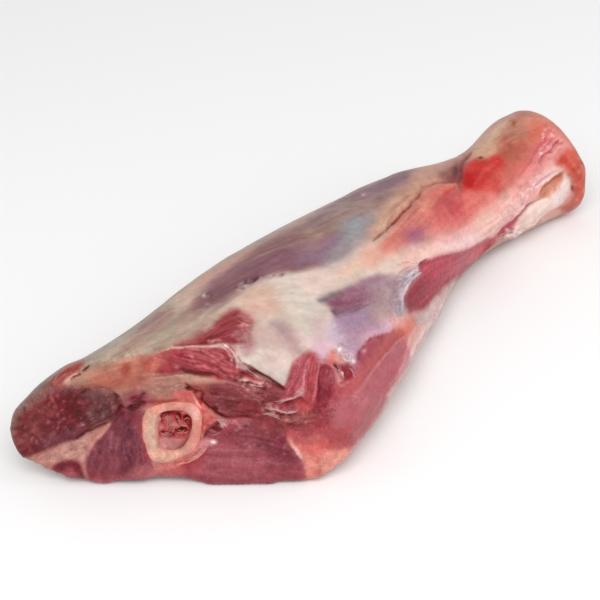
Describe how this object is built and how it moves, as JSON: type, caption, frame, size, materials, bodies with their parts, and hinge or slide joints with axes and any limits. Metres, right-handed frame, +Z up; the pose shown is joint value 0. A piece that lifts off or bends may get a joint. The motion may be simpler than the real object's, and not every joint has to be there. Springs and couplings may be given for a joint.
{
  "type": "raw goat shoulder",
  "caption": "Raw goat shoulder joint: a tapering leg of meat with its marrow bone sawn through at the thick end and the knuckle left on at the thin end.",
  "frame": {"origin": "on the surface it lies on, under the middle of its outline", "axes": "+X along the leg from the sawn end to the knuckle, +Z up, +Y across to the leg's straight back edge"},
  "size_m": [0.3009, 0.1064, 0.0565],
  "materials": {
    "muscle": "wet, dark red muscle under cream fat and mauve silverskin",
    "bone": "ivory sawn bone with a pink rim",
    "marrow": "moist red and pink spongy marrow"
  },
  "bodies": {
    "root": {"meat": "muscle", "bone": "bone", "marrow": "marrow"}
  },
  "joints": []
}
